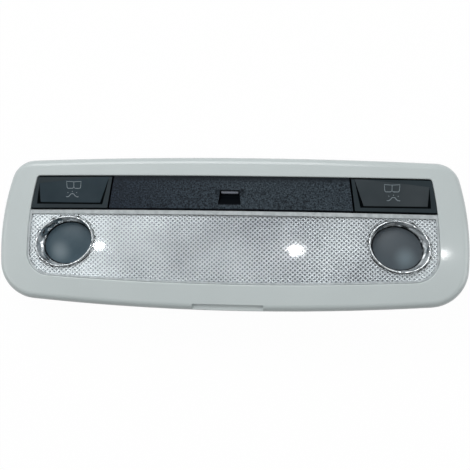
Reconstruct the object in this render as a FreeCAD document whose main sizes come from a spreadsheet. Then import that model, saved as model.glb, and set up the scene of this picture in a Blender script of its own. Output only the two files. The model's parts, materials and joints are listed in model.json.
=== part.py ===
"""Roof light of a car: a crowned bezel, a prismatic lens, two reading lamps and two rocker keys.

Frame in millimetres: X along the lamp, Y towards the row of keys, Z out of the visible face.
The origin is the middle of the plane in which the bezel's rim lies against the headliner.
"""

import FreeCAD, Part
import math
import os
import re

import Sketcher
from FreeCAD import Placement, Rotation, Vector

SIZES = {
    # Window in the bezel seen from the front: four arcs with rounded corners
    "window_top": 29.5,
    "window_bottom": 25.2,
    "window_half": 104.35,
    "window_top_arc": 9500.0,
    "window_bottom_arc": 1600.0,
    "window_side_arc": 167.0,
    "window_top_corner": 1.8,
    "window_bottom_corner": 12.0,
    "widest_drop": 8.0,
    # Rim of the bezel, drawn the same way round the window
    "rim_over": 9.75,
    "rim_under": 13.35,
    "rim_side": 14.95,
    "rim_top_arc": 2700.0,
    "rim_bottom_arc": 1270.0,
    "rim_side_arc": 135.0,
    "rim_top_corner": 12.5,
    "rim_bottom_corner": 19.5,
    # Crown: the face is a little higher in the middle than at its ends and edges
    "crown_top": 7.4,
    "crown_long": 5000.0,
    "crown_cross": 520.0,
    "above": 3.0,
    # Bezel
    "bezel_wall": 2.5,
    "bezel_edge": 3.6,
    "window_edge": 0.5,
    "notch_half": 18.0,
    "notch_in": 3.3,
    "notch_floor": 4.3,
    # Screw bosses behind the bezel
    "boss_out": 5.65,
    "boss_y": 16.0,
    "boss_outer": 3.2,
    "boss_seat": -1.1,
    "screw_shank": 1.35,
    "screw_head": 2.9,
    "screw_head_tall": 2.0,
    "screw_tip": 2.8,
    "screw_play": 0.1,
    # Line between the row of keys and the lens
    "row_line": 11.9,
    "row_arc": 8800.0,
    "row_gap": 0.55,
    "fit_gap": 0.15,
    "overlap": 0.5,
    "through": 5.0,
    # Lens
    "lens_drop": 0.5,
    "lens_thick": 2.2,
    "lens_skirt": 1.0,
    "lens_rail": 2.0,
    "lens_foot": -2.0,
    # Reading lamps
    "lamp_in": 19.45,
    "lamp_lift": 1.85,
    "lamp_long": 15.4,
    "lamp_short": 12.6,
    "lamp_tilt": 20.0,
    "ring_lip": 0.7,
    "ring_edge": 0.3,
    "ring_front": 6.35,
    "ring_back": -0.15,
    "lamp_shift": 0.5,
    "lamp_sink": 0.7,
    "optic_long": 12.5,
    "optic_short": 10.5,
    "optic_flange": 0.9,
    "optic_thick": 1.65,
    "optic_rise": 2.3,
    # Reflector, lamp and holder behind each reading lens
    "bowl_front": 12.2,
    "bowl_throat": 6.3,
    "bowl_arc": 30.0,
    "bowl_wall": 1.1,
    "bowl_deep": 15.1,
    "bowl_flange": 15.0,
    "lamp_tip": -4.0,
    "lamp_glass": 5.0,
    "lamp_neck": 4.2,
    "lamp_shoulder": 1.2,
    "lamp_tall": 14.4,
    "wedge_wide": 9.2,
    "wedge_thick": 2.4,
    "wedge_tall": 8.0,
    "holder_body": 8.0,
    "holder_flange": 9.3,
    "holder_flange_thick": 0.9,
    "holder_pocket": 6.4,
    "holder_grip": 2.2,
    "holder_grip_deep": 0.6,
    # Rear housing
    "back_face": -28.0,
    "back_wall": 1.8,
    "tub_front": 2.0,
    "tub_grow": 2.2,
    "ledge": 1.5,
    "ledge_gap": 0.25,
    "tower_wall": 1.6,
    "ear_outer": 3.4,
    "ear_thick": 2.0,
    "ear_reach": 9.0,
    "post_outer": 3.0,
    "post_neck": 1.7,
    "post_in": 36.35,
    "post_drop": 4.5,
    "inner_post_x": 34.0,
    "inner_post_rise": 6.1,
    "rib_x": 30.0,
    "rib_thick": 1.6,
    # Keys and their carrier
    "key_drop": 0.35,
    "key_gap": 0.25,
    "key_wall": 1.4,
    "key_foot": 0.0,
    "key_ceiling": 2.9,
    "key_long": 42.0,
    "separator_lean": 0.13,
    "pivot_drop": 4.3,
    "pivot_z": 2.2,
    "pin_radius": 1.0,
    "pin_play": 0.05,
    "ear_radius": 1.8,
    "pivot_ear": 1.6,
    "pivot_ear_gap": 0.5,
    "hinge_room": 4.3,
    "scoop_floor": 4.4,
    "scoop_slope": 0.104,
    "scoop_wall_slope": 1.05,
    "scoop_rim": 2.0,
    "scoop_flat": 0.4,
    "scoop_inner_foot": 5.2,
    "scoop_outer_foot": 4.2,
    "scoop_inner_head": 1.7,
    "scoop_outer_head": 0.5,
    "stem_rise": 5.7,
    "stem_wide": 3.0,
    "carrier_top": -2.0,
    "carrier_thick": 1.5,
    "carrier_gap": 0.3,
    "way_gap": 1.0,
    # Switches
    "switch_in": 22.85,
    "switch_wide": 10.0,
    "switch_tall": 6.5,
    "switch_floor": 1.0,
    "switch_shift": 1.2,
    "plunger_wide": 3.6,
    "plunger_play": 0.2,
    "plunger_top": -1.2,
    "plunger_low": -9.0,
    "stem_gap": 0.3,
    # Centre panel with its light outlet
    "panel_wall": 1.6,
    "panel_foot": -1.85,
    "outlet_head_drop": 7.3,
    "outlet_foot_rise": 2.1,
    "outlet_head_half": 4.8,
    "outlet_foot_half": 6.0,
    "outlet_floor": 3.9,
    "guide_half": 4.3,
    "guide_thick": 1.45,
    "guide_top": 5.4,
    # Circuit board, diode and connector
    "board_top": -12.0,
    "board_thick": 1.6,
    "board_in": 8.35,
    "board_edge": 2.3,
    "diode_long": 3.5,
    "diode_wide": 2.8,
    "diode_tall": 1.9,
    "socket_long": 26.0,
    "socket_wide": 12.0,
    "socket_wall": 1.3,
    "socket_key": 6.5,
    "pin_pitch": 4.0,
    "pin_row": 5.0,
    "pin_wide": 0.8,
    "pin_bore": 0.64,
    "pin_tip": -22.5,
    "pin_stub": 0.6,
    # Dome lamp
    "pan_in": 52.35,
    "pan_back_wide": 8.5,
    "pan_floor": -18.0,
    "pan_front": -2.2,
    "pan_slope_angle": 19.0,
    "pan_wall": 1.2,
    "pan_step": 0.85,
    "dome_axis": -9.0,
    "dome_half": 19.6,
    "dome_glass": 5.2,
    "dome_glass_end": 1.4,
    "dome_cap": 4.2,
    "dome_cap_long": 7.0,
    "dome_cap_cone": 2.6,
    "dome_cap_bead": 0.6,
    "dome_tip": 1.3,
    "contact_in": 0.6,
    "contact_thick": 0.8,
    "contact_wide": 8.0,
    "contact_hole": 2.5,
    "contact_top": -5.0,
    "contact_foot": 6.0,
    # Fixing clips on the top wall and hooks on the bottom wall
    "clip_x": 42.0,
    "clip_wide": 12.0,
    "clip_thick": 0.8,
    "clip_low": -22.0,
    "clip_high": -5.0,
    "clip_reach": 5.4,
    "clip_bend": 1.2,
    "clip_round": 1.3,
    "clip_knee": 4.5,
    "clip_return": 1.8,
    "clip_lug": 3.0,
    "clip_lug_proud": 0.6,
    "clip_lug_root": 1.0,
    "hook_x": 52.0,
    "hook_wide": 10.0,
    "hook_reach": 6.5,
    "hook_root": 1.5,
    "hook_high": -4.0,
    "hook_thick": 2.2,
}

# Sizes that follow from the ones above
WORKED_OUT = {
    "rim_top": "(window_top + rim_over)",
    "rim_bottom": "(window_bottom + rim_under)",
    "rim_half": "(window_half + rim_side)",
    "boss_x": "(window_half + boss_out)",
    "lamp_x": "(window_half - lamp_in)",
    "lamp_y": "((row_line - window_bottom) / 2 + lamp_lift)",
    "separator_x": "(window_half - key_long)",
    "pivot_y": "(window_top - pivot_drop)",
    "stem_y": "(row_line + stem_rise)",
    "switch_x": "(window_half - switch_in)",
    "outlet_head_y": "(window_top - outlet_head_drop)",
    "outlet_foot_y": "(row_line + outlet_foot_rise)",
    "board_half": "(window_half - board_in)",
    "board_low_y": "(row_line + board_edge)",
    "board_high_y": "(window_top - board_edge)",
    "post_x": "(window_half - post_in)",
    "post_y": "(window_top - post_drop)",
    "inner_post_y": "(row_line + inner_post_rise)",
    "socket_y": "((row_line + window_top) / 2)",
    "pan_y": "((row_line - window_bottom) / 2)",
    "pan_back_long": "(window_half - pan_in)",
}

SMALLEST_CORNER = 0.4
NEAR = 0.001
PIN_COLUMNS = 5
# The curved wall of a reading lamp's ring: shares of its depth and of the way in to the optic
RING_PROFILE = ((0, 0), (0.35, 0.08), (0.7, 0.37), (0.9, 0.7), (1, 1))
SIDES = (("left", -1), ("right", 1))
LEVELS = (("top", 1), ("bottom", -1))
ACROSS_X = Rotation(0.5, 0.5, 0.5, 0.5)
ALONG_X = Rotation(Vector(0, 1, 0), 90)
ALONG_Y = Rotation(Vector(1, 0, 0), 90)
UP = Vector(0, 0, 1)
# A turn above zero, so that its axis stays upright when an expression sets the angle
UPRIGHT = Rotation(UP, 10)

doc = FreeCAD.newDocument("dome_light")
sheet = doc.addObject("Spreadsheet::Sheet", "Sizes")
for row, (word, size) in enumerate(SIZES.items(), 1):
    sheet.set(f"A{row}", word)
    sheet.set(f"B{row}", str(size))
    sheet.setAlias(f"B{row}", word)
doc.recompute()

subparts = []


# Expressions over the sheet

def from_sheet(expression):
    """An expression whose words are references to the sheet."""

    def meant(found):
        word = found[0]
        if word in WORKED_OUT:
            return from_sheet(WORKED_OUT[word])
        return f"Sizes.{word}" if word in SIZES else word

    return re.sub(r"[A-Za-z_]\w*", meant, str(expression))


def number(expression):
    """The value that an expression has now, for first guesses and edge choices."""
    return float(sheet.evalExpression(from_sheet(expression)))


def bind(item, sizes):
    """Tie each named property of an object to its expression."""
    for name, expression in sizes.items():
        item.setExpression(name, from_sheet(expression))


def place(item, x, y, z):
    """Tie an object's place to three expressions."""
    bind(item, {"Placement.Base.x": x, "Placement.Base.y": y, "Placement.Base.z": z})


# Solids and their joins

def box(name, middle, size):
    """A box centred on x and y that stands on z."""
    item = doc.addObject("Part::Box", name)
    bind(item, dict(zip(("Length", "Width", "Height"), size)))
    x, y, z = middle
    place(item, f"({x}) - ({size[0]}) / 2", f"({y}) - ({size[1]}) / 2", z)
    return item


def cylinder(name, foot, radius, height, turn=Rotation()):
    """A cylinder that stands on its foot, along Z or turned."""
    item = doc.addObject("Part::Cylinder", name)
    item.Placement = Placement(Vector(), turn)
    bind(item, {"Radius": radius, "Height": height})
    place(item, *foot)
    return item


def fuse(name, shapes):
    item = doc.addObject("Part::MultiFuse", name)
    item.Shapes = shapes
    return item


def common(name, shapes):
    item = doc.addObject("Part::MultiCommon", name)
    item.Shapes = shapes
    return item


def cut(name, base, tools):
    item = doc.addObject("Part::Cut", name)
    item.Base = base
    item.Tool = tools[0] if len(tools) == 1 else fuse(f"{name}_tools", tools)
    return item


def extrude(name, outline, length, direction, taper=0):
    item = doc.addObject("Part::Extrusion", name)
    item.Base = outline
    item.DirMode = "Custom"
    item.Dir = direction
    item.Solid = True
    bind(item, {"LengthFwd": length, "TaperAngle": taper})
    return item


def loft(name, sections, ruled=True):
    item = doc.addObject("Part::Loft", name)
    item.Sections = sections
    item.Solid = True
    item.Ruled = ruled
    return item


def round_edges(name, base, radius, chosen):
    """Round the edges of base that the test picks."""
    doc.recompute()
    size = number(radius)
    item = doc.addObject("Part::Fillet", name)
    item.Base = base
    edges = enumerate(base.Shape.Edges, 1)
    item.Edges = [(count, size, size) for count, edge in edges if chosen(edge)]
    return item


def keep(item):
    """Hand a finished object in as a sub-part."""
    item.Label = item.Name
    subparts.append(item)
    return item


# Sketches

def arc_between(start, end, radius):
    """The arc that joins two spots; its centre is on the left of the way if the radius is positive."""
    half = (end - start) / 2
    left = Vector(-half.y, half.x, 0).normalize() * math.copysign(1, radius)
    centre = start + half + left * math.sqrt(radius ** 2 - half.Length ** 2)
    return arc_about(centre, abs(radius), *((start, end) if radius > 0 else (end, start)))


def arc_about(centre, radius, start, end):
    """The arc about a centre from start to end, counter-clockwise."""
    angles = [math.atan2(spot.y - centre.y, spot.x - centre.x) for spot in (start, end)]
    if angles[1] < angles[0]:
        angles[1] += 2 * math.pi
    return Part.ArcOfCircle(Part.Circle(centre, Vector(0, 0, 1), radius), *angles)


def constrain(sketch, kind, item, expression):
    """A constraint on the named items whose value is an expression."""
    fixed = sketch.addConstraint(Sketcher.Constraint(kind, *item, number(expression)))
    sketch.setExpression(f"Constraints[{fixed}]", from_sheet(expression))


def profile(sketch, corners):
    """A closed line through corners given as pairs of expressions.

    A third value is the radius of the arc that follows the corner, positive if it bulges to the right."""
    spots = [Vector(number(corner[0]), number(corner[1]), 0) for corner in corners]
    ends = []
    for start, end, corner in zip(spots, spots[1:] + spots[:1], corners):
        radius = number(corner[2]) if len(corner) == 3 else 0
        line = arc_between(start, end, radius) if radius else Part.LineSegment(start, end)
        sketch.addGeometry(line, False)
        ends.append((2, 1) if radius < 0 else (1, 2))
    for i, corner in enumerate(corners):
        after = (i + 1) % len(corners)
        sketch.addConstraint(Sketcher.Constraint("Coincident", i, ends[i][1], after, ends[after][0]))
        constrain(sketch, "DistanceX", (-1, 1, i, ends[i][0]), corner[0])
        constrain(sketch, "DistanceY", (-1, 1, i, ends[i][0]), corner[1])
        if len(corner) == 3:
            constrain(sketch, "Radius", (i,), f"abs({corner[2]})")


def flat_profile(name, corners, z, turn=Rotation()):
    """A closed profile parallel to XY at height z, or turned, when z is its place along the normal."""
    sketch = doc.addObject("Sketcher::SketchObject", name)
    normal = turn.multVec(Vector(0, 0, 1))
    sketch.Placement = Placement(Vector(), turn)
    place(sketch, *(f"({z}) * {round(part)}" for part in normal))
    profile(sketch, corners)
    return sketch


def sketch_in(body, role, name):
    sketch = body.newObject("Sketcher::SketchObject", name)
    plane = next(item for item in body.Origin.OriginFeatures if item.Role == role)
    sketch.AttachmentSupport = [(plane, "")]
    sketch.MapMode = "FlatFace"
    return sketch


def turned(name, corners, at, role="XZ_Plane", axis="V_Axis"):
    """A body turned from a half profile, about the vertical or the horizontal axis of its sketch."""
    body = doc.addObject("PartDesign::Body", name)
    sketch = sketch_in(body, role, f"{name}_profile")
    profile(sketch, corners)
    turn = body.newObject("PartDesign::Revolution", f"{name}_turn")
    turn.Profile = sketch
    turn.ReferenceAxis = (sketch, [axis])
    turn.Angle = 360
    place(body, *at)
    return body


def crossing(first, first_radius, second, second_radius, near):
    """Where two circles cross, nearest to a point."""
    apart = second - first
    along = (apart.Length ** 2 + first_radius ** 2 - second_radius ** 2) / (2 * apart.Length)
    aside = math.sqrt(first_radius ** 2 - along ** 2)
    unit = apart.normalize()
    across = Vector(-unit.y, unit.x, 0) * aside
    spots = [first + unit * along + across, first + unit * along - across]
    return min(spots, key=near.distanceToPoint)


def arched_plate(name, edge, grow, low, high):
    """A plate from low to high inside the four arcs of the rim or the window, grown by an offset."""
    body = doc.addObject("PartDesign::Body", name)
    sketch = sketch_in(body, "XY_Plane", f"{name}_outline")
    side = f"{edge}_half - {edge}_side_arc"
    arcs = (
        (side, "-widest_drop", f"{edge}_side_arc + ({grow})"),
        (0, f"{edge}_top - {edge}_top_arc", f"{edge}_top_arc + ({grow})"),
        (f"-({side})", "-widest_drop", f"{edge}_side_arc + ({grow})"),
        (0, f"{edge}_bottom_arc - {edge}_bottom", f"{edge}_bottom_arc + ({grow})"),
    )
    levels = ("top", "top", "bottom", "bottom")
    rounding = [f"max({SMALLEST_CORNER}; {edge}_{level}_corner + ({grow}))" for level in levels]
    centres = [Vector(number(x), number(y), 0) for x, y, radius in arcs]
    radii = [number(radius) for x, y, radius in arcs]
    half, top, bottom = (number(f"{edge}_{part}") for part in ("half", "top", "bottom"))
    towards = [Vector(x, y, 0) for x, y in ((half, top), (-half, top), (-half, -bottom), (half, -bottom))]
    corners = []
    for i in range(4):
        after, small = (i + 1) % 4, number(rounding[i])
        spot = crossing(centres[i], radii[i] - small, centres[after], radii[after] - small, towards[i])
        corners.append(spot)

    def touch(i, corner):
        return centres[i] + (corners[corner] - centres[i]).normalize() * radii[i]

    for i in range(4):
        after = (i + 1) % 4
        sketch.addGeometry(arc_about(centres[i], radii[i], touch(i, i - 1), touch(i, i)), False)
        corner = arc_about(corners[i], number(rounding[i]), touch(i, i), touch(after, i))
        sketch.addGeometry(corner, False)
    for i in range(8):
        sketch.addConstraint(Sketcher.Constraint("Tangent", i, 2, (i + 1) % 8, 1))
    for i, (x, y, radius) in enumerate(arcs):
        constrain(sketch, "DistanceX", (-1, 1, 2 * i, 3), x)
        constrain(sketch, "DistanceY", (-1, 1, 2 * i, 3), y)
        constrain(sketch, "Radius", (2 * i,), radius)
        constrain(sketch, "Radius", (2 * i + 1,), rounding[i])
    pad = body.newObject("PartDesign::Pad", f"{name}_pad")
    pad.Profile = sketch
    bind(pad, {"Length": f"({high}) - ({low})"})
    place(body, 0, 0, low)
    return body


# The crown and the lines on the face

def crown(name, drop):
    """The solid below the crowned face, lowered by an offset."""
    item = doc.addObject("Part::Torus", name)
    item.Placement = Placement(Vector(), ALONG_Y)
    bind(item, {"Radius1": "crown_long - crown_cross", "Radius2": f"crown_cross - ({drop})"})
    place(item, 0, 0, "crown_top - crown_long")
    return item


def crown_height(x, y):
    """Height of the crowned face above a spot."""
    along, across = number("crown_long"), number("crown_cross")
    reach = along - across + math.sqrt(across ** 2 - y ** 2)
    return number("crown_top") - along + math.sqrt(reach ** 2 - x ** 2)


def below_row(name, lift, low, high):
    """Everything on the lens side of the line between the row of keys and the lens."""
    return cylinder(name, (0, f"row_line + ({lift}) - row_arc", low), "row_arc", f"({high}) - ({low})")


def separator(y, side=1):
    """Distance from the middle of the line between the centre panel and a key."""
    return f"{side} * (separator_x - separator_lean * (({y}) - row_line))"


def window_side(y):
    """Distance from the middle of the window's side edge."""
    return f"(window_half - window_side_arc + sqrt(window_side_arc ^ 2 - (({y}) + widest_drop) ^ 2))"


HIGH = "crown_top + above"
ROW_LOW = "row_line - above"
ROW_HIGH = "window_top + above"


def make_bezel():
    slab = arched_plate("bezel_slab", "rim", 0, 0, HIGH)
    dome = common("bezel_dome", [slab, crown("bezel_crown", 0)])
    rounded = round_edges("bezel_rounded", dome, "bezel_edge", lambda edge: edge.BoundBox.ZMin > 1)
    inner_slab = arched_plate("bezel_inner_slab", "rim", "-bezel_wall", 0, HIGH)
    hollow = common("bezel_hollow", [inner_slab, crown("bezel_inner_crown", "bezel_wall")])
    window = arched_plate("bezel_window", "window", 0, 0, HIGH)
    notch = box("bezel_notch", (0, "notch_in - 2 * rim_bottom", "notch_floor"),
                ("2 * notch_half", "2 * rim_bottom", HIGH))
    shell = cut("bezel_shell", rounded, [hollow, window, notch])
    low, high, half = (number(f"window_{part} + overlap") for part in ("bottom", "top", "half"))

    def window_rim(edge):
        spot = edge.valueAt((edge.FirstParameter + edge.LastParameter) / 2)
        inside = -low < spot.y < high and abs(spot.x) < half
        return inside and abs(spot.z - crown_height(spot.x, spot.y)) < NEAR

    softened = round_edges("bezel_softened", shell, "window_edge", window_rim)
    bosses, bores = [], []
    for name, side in SIDES:
        for level, up in LEVELS:
            spot = (f"{side} * boss_x", f"{up} * boss_y", "boss_seat")
            bosses.append(cylinder(f"bezel_boss_{name}_{level}", spot, "boss_outer",
                                   "crown_top - bezel_wall - boss_seat"))
            bores.append(cylinder(f"bezel_bore_{name}_{level}", spot, "screw_shank + screw_play",
                                  "screw_tip + screw_play - boss_seat"))
    under = crown("bezel_boss_crown", "bezel_wall / 2")
    posts = common("bezel_posts", [fuse("bezel_bosses", bosses), under])
    keep(cut("bezel", fuse("bezel_with_bosses", [softened, posts]), bores))


def ellipse(name, x, y, z, long, short, tilt):
    """An elliptical line parallel to XY, tilted by an expression."""
    item = doc.addObject("Part::Ellipse", name)
    item.Placement = Placement(Vector(), UPRIGHT)
    bind(item, {"MajorRadius": long, "MinorRadius": short, "Placement.Rotation.Angle": tilt})
    place(item, x, y, z)
    return item


def lamp_outer(name, side, grow, low, high):
    """The elliptical cylinder that a reading lamp's ring fills."""
    outline = ellipse(f"{name}_ellipse", f"{side} * lamp_x", "lamp_y", low, f"lamp_long + ({grow})",
                      f"lamp_short + ({grow})", f"{-side} * lamp_tilt")
    return extrude(name, outline, f"({high}) - ({low})", UP)


def lamp_spot(side):
    """Where the axis of a reading lamp's optic, reflector and bulb stands."""
    return f"{side} * (lamp_x - lamp_shift)", "(lamp_y - lamp_sink)"


def lamp_inner(name, side, grow, z):
    """The outline of a reading lamp's optic at a height."""
    return ellipse(name, *lamp_spot(side), z, f"optic_long + ({grow})", f"optic_short + ({grow})",
                   f"{-side} * lamp_tilt")


def make_lens():
    outer = common("lens_outer", [
        arched_plate("lens_slab", "window", "-fit_gap", "lens_foot", HIGH),
        crown("lens_crown", "lens_drop"),
        below_row("lens_top_line", "-fit_gap", "lens_foot", HIGH)])
    inner = common("lens_inner", [
        arched_plate("lens_inner_slab", "window", "-fit_gap - lens_skirt", "lens_foot", HIGH),
        crown("lens_inner_crown", "lens_drop + lens_thick"),
        below_row("lens_inner_line", "-fit_gap - lens_rail", "lens_foot", HIGH)])
    holes = [lamp_outer(f"lens_hole_{name}", side, "fit_gap", "lens_foot", HIGH) for name, side in SIDES]
    keep(cut("lens", outer, [inner] + holes))


def make_ring(name, side):
    """The chrome ring, a bowl that narrows off centre from a tilted ellipse to a smaller one."""
    collar = lamp_outer(f"ring_collar_{name}", side, 0, "ring_back", "ring_front")
    sections = []
    for step, (depth, inward) in enumerate(RING_PROFILE):
        x = f"{side} * (lamp_x - lamp_shift * {inward})"
        z = f"ring_front - (ring_front - ring_back) * {depth}"
        long, short = (f"(lamp_{way} - ring_lip) * (1 - {inward}) + optic_{way} * {inward}"
                       for way in ("long", "short"))
        sections.append(ellipse(f"ring_section_{name}_{step}", x, f"lamp_y - lamp_sink * {inward}", z,
                                long, short, f"{-side} * lamp_tilt"))
    ring = cut(f"ring_{name}", collar, [loft(f"ring_funnel_{name}", sections, ruled=False)])
    front = number("ring_front") - NEAR
    keep(round_edges(f"reading_ring_{name}", ring, "ring_edge", lambda edge: edge.BoundBox.ZMin > front))


def make_reading_lamp(name, side):
    x, y = lamp_spot(side)
    base = "ring_back - fit_gap - optic_thick"
    seat_line = lamp_inner(f"optic_seat_outline_{name}", side, "optic_flange", base)
    seat = extrude(f"optic_seat_{name}", seat_line, "optic_thick", UP)
    body_line = lamp_inner(f"optic_outline_{name}", side, "-fit_gap", base)
    body = extrude(f"optic_body_{name}", body_line, "optic_thick + 2 * optic_rise", UP)
    dome_radius = "((optic_long ^ 2) / (2 * optic_rise) + optic_rise / 2)"
    dome = doc.addObject("Part::Sphere", f"optic_dome_{name}")
    bind(dome, {"Radius": dome_radius})
    place(dome, x, y, f"{base} + optic_thick + optic_rise - {dome_radius}")
    keep(fuse(f"reading_lens_{name}", [seat, common(f"optic_cap_{name}", [body, dome])]))

    bowl_top = f"({base} - fit_gap)"
    keep(turned(f"reading_reflector_{name}", (
        ("bowl_throat", f"{bowl_top} - bowl_deep", "bowl_arc"),
        ("bowl_front", bowl_top),
        ("bowl_flange", bowl_top),
        ("bowl_flange", f"{bowl_top} - bowl_wall"),
        ("bowl_front + bowl_wall", f"{bowl_top} - bowl_wall", "-(bowl_arc + bowl_wall)"),
        ("bowl_throat + bowl_wall", f"{bowl_top} - bowl_deep"),
    ), (x, y, 0)))

    glass = turned(f"lamp_glass_{name}", (
        (0, "lamp_tip - lamp_tall"),
        ("lamp_neck", "lamp_tip - lamp_tall"),
        ("lamp_glass", "lamp_tip - lamp_tall + lamp_shoulder"),
        ("lamp_glass", "lamp_tip - lamp_glass", "lamp_glass"),
        (0, "lamp_tip"),
    ), (x, y, 0))
    wedge = box(f"lamp_wedge_{name}", (x, y, "lamp_tip - lamp_tall - wedge_tall"),
                ("wedge_wide", "wedge_thick", "wedge_tall + overlap"))
    keep(fuse(f"reading_bulb_{name}", [glass, wedge]))

    holder_top = "(lamp_tip - lamp_tall - fit_gap)"
    barrel = cylinder(f"holder_barrel_{name}", (x, y, "back_face"), "holder_body",
                      f"{holder_top} - back_face")
    foot = (x, y, "back_face")
    flange = cylinder(f"holder_flange_{name}", foot, "holder_flange", "holder_flange_thick")
    slot = box(f"holder_slot_{name}", (x, y, "lamp_tip - lamp_tall - wedge_tall - fit_gap"),
               ("wedge_wide + 2 * fit_gap", "wedge_thick + 2 * fit_gap", "wedge_tall + overlap"))
    hollow = cylinder(f"holder_hollow_{name}", foot, "holder_pocket", "holder_grip_deep")
    grip = box(f"holder_grip_{name}", foot, ("2 * holder_body", "holder_grip", "2 * holder_grip_deep"))
    pocket = cut(f"holder_pocket_{name}", hollow, [grip])
    keep(cut(f"bulb_holder_{name}", fuse(f"holder_solid_{name}", [barrel, flange]), [slot, pocket]))


def key_block(name, side, inset, low, drop):
    """The space of a key in the row, drawn in by an inset."""
    corners = [(f"{separator(y, side)} + {side} * (key_gap + {inset})", y) for y in (ROW_LOW, ROW_HIGH)]
    corners += [(f"{side} * (window_half + through)", y) for y in (ROW_HIGH, ROW_LOW)]
    prism = extrude(f"{name}_prism", flat_profile(f"{name}_plan", corners, low), f"{HIGH} - ({low})", UP)
    slab = arched_plate(f"{name}_slab", "window", f"-key_gap - {inset}", low, HIGH)
    block = common(f"{name}_block", [prism, slab, crown(f"{name}_crown", drop)])
    return cut(name, block, [below_row(f"{name}_line", f"row_gap - fit_gap + {inset}", low, HIGH)])


def key_scoop(name, side):
    """The finger scoop: a wedge that starts flush at the upper edge and sinks towards the lower one."""
    foot_y = "(row_line + row_gap - fit_gap + scoop_rim)"
    head_y = "(window_top - key_gap)"
    inner_lean = f"((scoop_inner_foot - scoop_inner_head) / ({head_y} - {foot_y}))"
    outer_lean = f"((scoop_outer_foot - scoop_outer_head) / ({head_y} - {foot_y}))"

    def quad(level, z, far_y, spread):
        spots = []
        for y, wide in ((foot_y, spread), (far_y, "0")):
            along = f"({y} - {foot_y})"
            inner = f"{separator(y)} + key_gap + scoop_inner_foot - {inner_lean} * {along} - ({wide})"
            edge_lean = f"({window_side(foot_y)} - {window_side(head_y)}) / ({head_y} - {foot_y})"
            outer = f"{window_side(foot_y)} - key_gap - scoop_outer_foot + ({wide})"
            outer += f" + ({outer_lean} - {edge_lean}) * {along}"
            spots.append(((f"{side} * ({inner})", y), (f"{side} * ({outer})", y)))
        (a, b), (d, c) = spots
        return flat_profile(f"{name}_{level}", (a, b, c, d), z)

    far = f"({foot_y} + scoop_flat + ({HIGH} - scoop_floor) / scoop_slope)"
    low = quad("low", "scoop_floor", f"({foot_y} + scoop_flat)", "0")
    high = quad("high", HIGH, far, f"scoop_wall_slope * ({HIGH} - scoop_floor)")
    return loft(name, [low, high])


def pivot_spots(side):
    """For both ends of a key's axis: the wall's inner face, and the way from it into the key."""
    inner = f"{separator('pivot_y', side)} + {side} * (key_gap + key_wall)"
    outer = f"{side} * ({window_side('pivot_y')} - key_gap - key_wall)"
    return ("inner", inner, side), ("outer", outer, -side)


def make_key(name, side):
    cap = key_block(f"key_{name}", side, "0", "key_foot", "key_drop")
    hollow = key_block(f"key_hollow_{name}", side, "key_wall", "key_foot", "key_drop + key_wall")
    low_room = box(f"key_low_room_{name}", (f"{side} * window_half", "row_line", "key_foot"),
                   ("window_half", "2 * (window_top - row_line)", "key_ceiling - key_foot"))
    hinge_room = box(f"key_hinge_room_{name}",
                     (f"{side} * window_half", "pivot_y - ear_radius - fit_gap + window_top", "key_foot"),
                     ("window_half", "2 * window_top", "hinge_room - key_foot"))
    room = common(f"key_room_{name}", [hollow, fuse(f"key_rooms_{name}", [low_room, hinge_room])])
    shell = cut(f"key_shell_{name}", cap, [room, key_scoop(f"key_scoop_{name}", side)])
    extras = [box(f"key_stem_{name}", (f"{side} * switch_x", "stem_y", "plunger_top + stem_gap"),
                  ("stem_wide", "stem_wide", "key_ceiling - plunger_top - stem_gap + overlap"))]
    length = "(2 * pivot_ear_gap + pivot_ear + overlap)"
    for end, wall, way in pivot_spots(side):
        start = f"{wall} - overlap" if way > 0 else f"{wall} + overlap - {length}"
        extras.append(cylinder(f"key_pin_{name}_{end}", (start, "pivot_y", "pivot_z"), "pin_radius",
                               length, ALONG_X))
    keep(fuse(f"button_{name}", [shell] + extras))


def make_carrier():
    bottom = "carrier_top - carrier_thick"
    slab = arched_plate("carrier_slab", "window", "-ledge - carrier_gap", bottom, "carrier_top")
    edge = below_row("carrier_line", "ledge", "carrier_top - through", "carrier_top + through")
    solids, holes = [cut("carrier_plate", slab, [edge])], []
    for name, side in SIDES:
        for end, wall, way in pivot_spots(side):
            middle = f"{wall} + {way} * (pivot_ear_gap + pivot_ear / 2)"
            solids.append(box(f"carrier_ear_{name}_{end}", (middle, "pivot_y", "carrier_top - overlap"),
                              ("pivot_ear", "2 * ear_radius", "pivot_z - carrier_top + overlap")))
            eye = (f"{middle} - pivot_ear / 2", "pivot_y", "pivot_z")
            solids.append(cylinder(f"carrier_eye_{name}_{end}", eye, "ear_radius", "pivot_ear", ALONG_X))
            hole = (f"{middle} - pivot_ear", "pivot_y", "pivot_z")
            holes.append(cylinder(f"carrier_hole_{name}_{end}", hole, "pin_radius + pin_play",
                                  "2 * pivot_ear", ALONG_X))
        way_wide = "plunger_wide + 2 * way_gap"
        holes.append(box(f"carrier_way_{name}", (f"{side} * switch_x", "stem_y", "carrier_top - through"),
                         (way_wide, way_wide, "2 * through")))
    holes.append(box("carrier_guide_way", (0, "outlet_head_y - guide_thick / 2", "carrier_top - through"),
                     ("2 * guide_half + way_gap", "guide_thick + way_gap", "2 * through")))
    keep(cut("switch_carrier", fuse("carrier_solid", solids), holes))


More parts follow.
